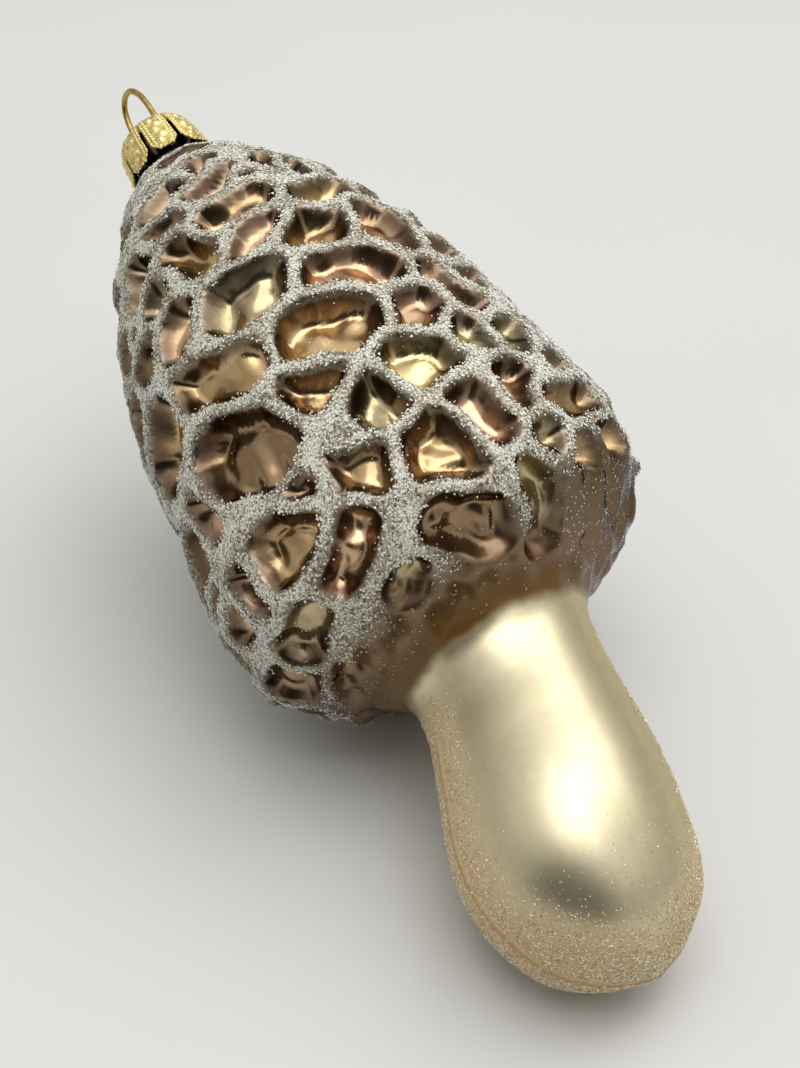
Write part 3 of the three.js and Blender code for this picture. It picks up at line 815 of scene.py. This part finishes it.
def make_crown():
    """Eight petals pressed in one cupped sheet, with two beaded lines up each side and lumps between, and two
    holes in its top for the wire."""
    profile = respaced(smooth_curve(CROWN_PROFILE), lambda point: CROWN_STEP)
    top = profile[0] - np.arange(TOP_ROWS, 0, -1)[:, None] * (CROWN_STEP, 0)
    profile = np.vstack([top, profile])
    rows, columns = len(profile), PETALS * PETAL_COLUMNS
    angle = np.linspace(0, 2 * math.pi, columns, endpoint=False)
    across = (np.arange(columns) % PETAL_COLUMNS - (PETAL_COLUMNS - 1) / 2) / (PETAL_COLUMNS / 2)
    height = np.repeat(profile[:, 1:], columns, 1)
    radius = np.repeat(profile[:, :1], columns, 1)
    half_petal = radius * math.pi / PETALS
    half_width = np.interp(height, PETAL_HEIGHTS, PETAL_SHARES)
    from_edge = (half_width - np.abs(across)[None]) * half_petal
    along = (np.arange(1, rows + 1)[:, None] - TOP_ROWS) * CROWN_STEP
    raised = np.zeros_like(radius)
    for inset in BEAD_INSETS:
        bead = np.maximum(0, 1 - ((from_edge - inset) / BEAD_HALF_WIDTH) ** 2)
        raised += BEAD_HEIGHT * np.sqrt(bead * (0.5 + 0.5 * np.cos(along * 2 * math.pi / BEAD_SPACING)))
    sideways = across[None] * half_petal
    for place, shift, size in PETAL_LUMPS:
        reach = ((height - place) ** 2 + (sideways - shift) ** 2) / size**2
        raised += LUMP_HEIGHT * np.exp(-reach)
    raised *= smooth_step(height, CROWN_HEIGHT, CROWN_HEIGHT - 1)
    groove = GROOVE_DEPTH * smooth_step(np.abs(across), 0.8, 1.0)[None]
    groove = groove * smooth_step(height, CROWN_HEIGHT, GROOVE_FOOT)
    surface = radius + raised - groove
    spots = np.stack([
        CROWN_END - height, surface * np.cos(angle)[None], surface * np.sin(angle)[None]
    ], -1).reshape(-1, 3)
    quads = grid_faces(rows, columns)
    kept = (np.abs(across)[None] < half_width).reshape(-1)[quads].all(1)
    whole = height.reshape(-1)[quads].min(1) > SLIT_TOP
    away = np.interp(CROWN_HEIGHT, [high for _, high in WIRE_LEG], [away for away, _ in WIRE_LEG])
    hole = away * np.array([math.cos(LOOP_TURN), math.sin(LOOP_TURN)])
    from_wire = np.minimum(*(np.linalg.norm(spots[:, 1:] - side * hole, axis=1) for side in (-1, 1)))
    clear = from_wire[quads].min(1) > WIRE_HOLE
    quads = quads[(kept | whole) & clear]
    hub = len(spots)
    spots = np.vstack([spots, (CROWN_END - CROWN_HEIGHT, 0, 0)])
    ring = np.arange(columns)
    lid = np.stack([ring, np.full(columns, hub), (ring + 1) % columns], -1)
    triangles = np.vstack([quads[:, [0, 1, 2]], quads[:, [0, 2, 3]], lid])
    crown = mesh_piece("crown_cap_stamped", spots, triangles)
    paint(crown, "raised", np.concatenate([(raised - groove).ravel(), [0]]))
    crown.data.materials.append(stamped_gold())
    sheet = crown.modifiers.new("sheet", "SOLIDIFY")
    sheet.thickness = CROWN_SHEET * MM
    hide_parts("crown_cap")


# ---------------------------------------------------------------- floor, light and camera

def make_stage():
    """A wide pale board with a matt finish: it takes soft, clean shadows and gives hardly any reflection."""
    floor = bpy.data.meshes.new("floor")
    corners = [(FLOOR_REACH * x, FLOOR_REACH * y, 0) for x, y in ((-1, -1), (1, -1), (1, 1), (-1, 1))]
    floor.from_pydata(corners, [], [(0, 1, 2, 3)])
    ground = bpy.data.objects.new("floor", floor)
    bpy.context.scene.collection.objects.link(ground)
    material, tree, place = new_material("pale_matt_board")
    grain = node(tree, "TexNoise", {"Vector": place, "Scale": 6.0, "Detail": 3.0})
    colour = node(tree, "ValToRGB", {"Fac": grain.outputs["Fac"]},
                  stops=((0.3, "#D4D5D4"), (0.7, "#D8D9D8")))
    surface = node(tree, "BsdfPrincipled", {
        "Base Color": colour.outputs["Color"], "Roughness": 0.55, "Specular IOR Level": 0.3,
    })
    node(tree, "OutputMaterial", {"Surface": surface.outputs["BSDF"]})
    ground.data.materials.append(material)


def make_light():
    """A pale room, bright overhead and dim in one corner, under two soft lamps."""
    world = bpy.data.worlds.new("studio")
    bpy.context.scene.world = world
    world.use_nodes = True
    tree = world.node_tree
    tree.nodes.clear()
    way = node(tree, "TexCoord").outputs["Generated"]
    up = node(tree, "SeparateXYZ", {"Vector": way}).outputs["Z"]
    sky = node(tree, "ValToRGB", {"Fac": up},
               stops=((0.0, "#B8B5AE"), (0.4, "#C0BEB8"), (0.62, "#DEDDD8"), (0.85, "#FFFFFF")))
    near = node(tree, "VectorMath", {0: way, 1: DARK_CORNER}, operation="DOT_PRODUCT")
    shade = node(tree, "MapRange", {
        "Value": near.outputs["Value"], "From Min": 0.74, "From Max": 0.88, "To Min": 1.0, "To Max": 0.05,
    })
    horizon = node(tree, "MapRange", {
        "Value": up, "From Min": 0.03, "From Max": 0.2, "To Min": 1.0, "To Max": 0.0,
    })
    strength = node(tree, "Math", {
        0: shade.outputs["Result"], 1: horizon.outputs["Result"],
    }, operation="MAXIMUM")
    background = node(tree, "Background", {
        "Color": sky.outputs["Color"], "Strength": strength.outputs[0],
    })
    node(tree, "OutputWorld", {"Surface": background.outputs[0]})
    for name, place, aim, size, power in SOFTBOXES:
        lamp = bpy.data.lights.new(name, "AREA")
        lamp.size = size
        lamp.energy = power
        lamp.color = linear(LAMP_COLOUR)[:3]
        light = bpy.data.objects.new(name, lamp)
        light.location = place
        light.rotation_euler = (Vector(aim) - Vector(place)).to_track_quat("-Z", "Y").to_euler()
        bpy.context.scene.collection.objects.link(light)


def make_camera():
    """Looks down on the ornament from beyond its stem, with the crown far off at the upper left."""
    level = math.cos(CAMERA_ELEVATION)
    back = Vector((math.sin(CAMERA_AZIMUTH) * level, -math.cos(CAMERA_AZIMUTH) * level,
                   math.sin(CAMERA_ELEVATION)))
    lens = bpy.data.cameras.new("camera")
    lens.sensor_fit = "VERTICAL"
    lens.sensor_height = SENSOR_HEIGHT
    lens.lens = CAMERA_LENS
    lens.clip_start = 0.01
    lens.clip_end = 10
    camera = bpy.data.objects.new("camera", lens)
    camera.location = (Vector(SEAT) + Vector(CAMERA_AIM) + back * CAMERA_DISTANCE) * MM
    rolled = back.to_track_quat("Z", "Y") @ Quaternion((0, 0, 1), CAMERA_ROLL)
    camera.rotation_euler = rolled.to_euler()
    bpy.context.scene.collection.objects.link(camera)
    bpy.context.scene.camera = camera


make_camera()
make_light()
make_stage()
skin, out, fields = make_glass()
make_frost(skin, out, fields)
make_crown()
make_wire()
bpy.context.scene.view_settings.view_transform = "Standard"
